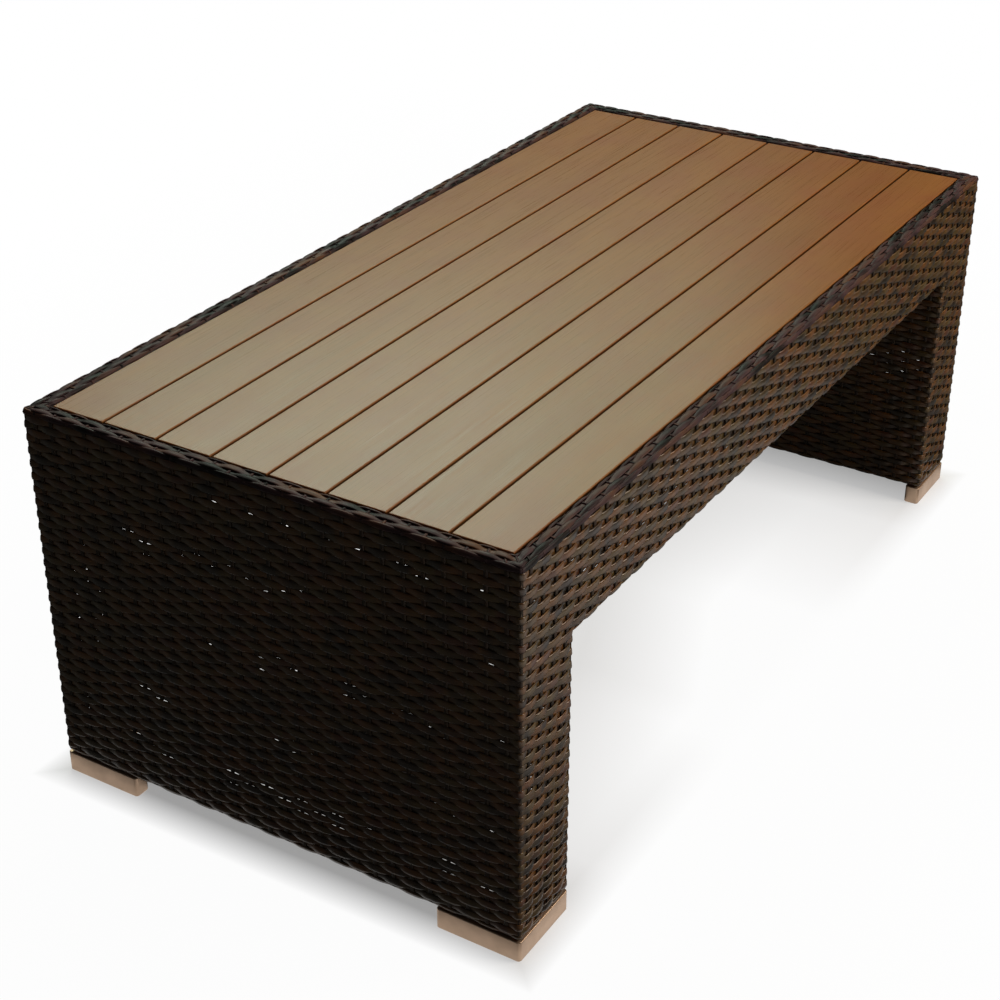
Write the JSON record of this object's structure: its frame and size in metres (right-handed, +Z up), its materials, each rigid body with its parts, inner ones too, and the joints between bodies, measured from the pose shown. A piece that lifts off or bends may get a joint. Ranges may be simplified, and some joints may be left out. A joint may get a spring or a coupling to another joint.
{
  "type": "coffee table",
  "caption": "Rectangular woven garden coffee table with a slatted wood-effect top, hollow end-panel legs and L-shaped metal corner feet.",
  "frame": {"origin": "on the floor under the middle of the table", "axes": "+X along the length, +Y across the width, +Z up"},
  "size_m": [1.18, 0.6, 0.46],
  "materials": {
    "wicker": "satin flat polyethylene strand, mottled dark brown",
    "border": "satin flat polyethylene strand, dark brown with a grey sheen",
    "slat": "brushed wood-effect board, greyish tan",
    "frame": "satin dark brown powder coat on aluminium tube",
    "foot": "satin champagne"
  },
  "bodies": {
    "root": {"apron_rail_back": "frame", "apron_rail_front": "frame", "apron_weave_back": "wicker", "apron_weave_front": "wicker", "border_back": "border", "border_front": "border", "border_left": "border", "border_right": "border", "corner_post_back_left": "frame", "corner_post_back_right": "frame", "corner_post_front_left": "frame", "corner_post_front_right": "frame", "end_weave_left": "wicker", "end_weave_right": "wicker", "foot_back_left": "foot", "foot_back_right": "foot", "foot_front_left": "foot", "foot_front_right": "foot", "foot_rail_back_left": "frame", "foot_rail_back_right": "frame", "foot_rail_front_left": "frame", "foot_rail_front_right": "frame", "inner_bottom_rail_left": "frame", "inner_bottom_rail_right": "frame", "inner_post_back_left": "frame", "inner_post_back_right": "frame", "inner_post_front_left": "frame", "inner_post_front_right": "frame", "inner_weave_left": "wicker", "inner_weave_right": "wicker", "leg_weave_back_left": "wicker", "leg_weave_back_right": "wicker", "leg_weave_front_left": "wicker", "leg_weave_front_right": "wicker", "outer_bottom_rail_left": "frame", "outer_bottom_rail_right": "frame", "slat_1": "slat", "slat_2": "slat", "slat_3": "slat", "slat_4": "slat", "slat_5": "slat", "slat_6": "slat", "slat_7": "slat", "slat_8": "slat", "slat_bearer_1": "frame", "slat_bearer_2": "frame", "slat_bearer_3": "frame", "slat_bearer_4": "frame", "top_rail_back": "frame", "top_rail_front": "frame", "top_rail_left": "frame", "top_rail_right": "frame", "upright_back_left": "frame", "upright_back_right": "frame", "upright_front_left": "frame", "upright_front_right": "frame"}
  },
  "joints": []
}
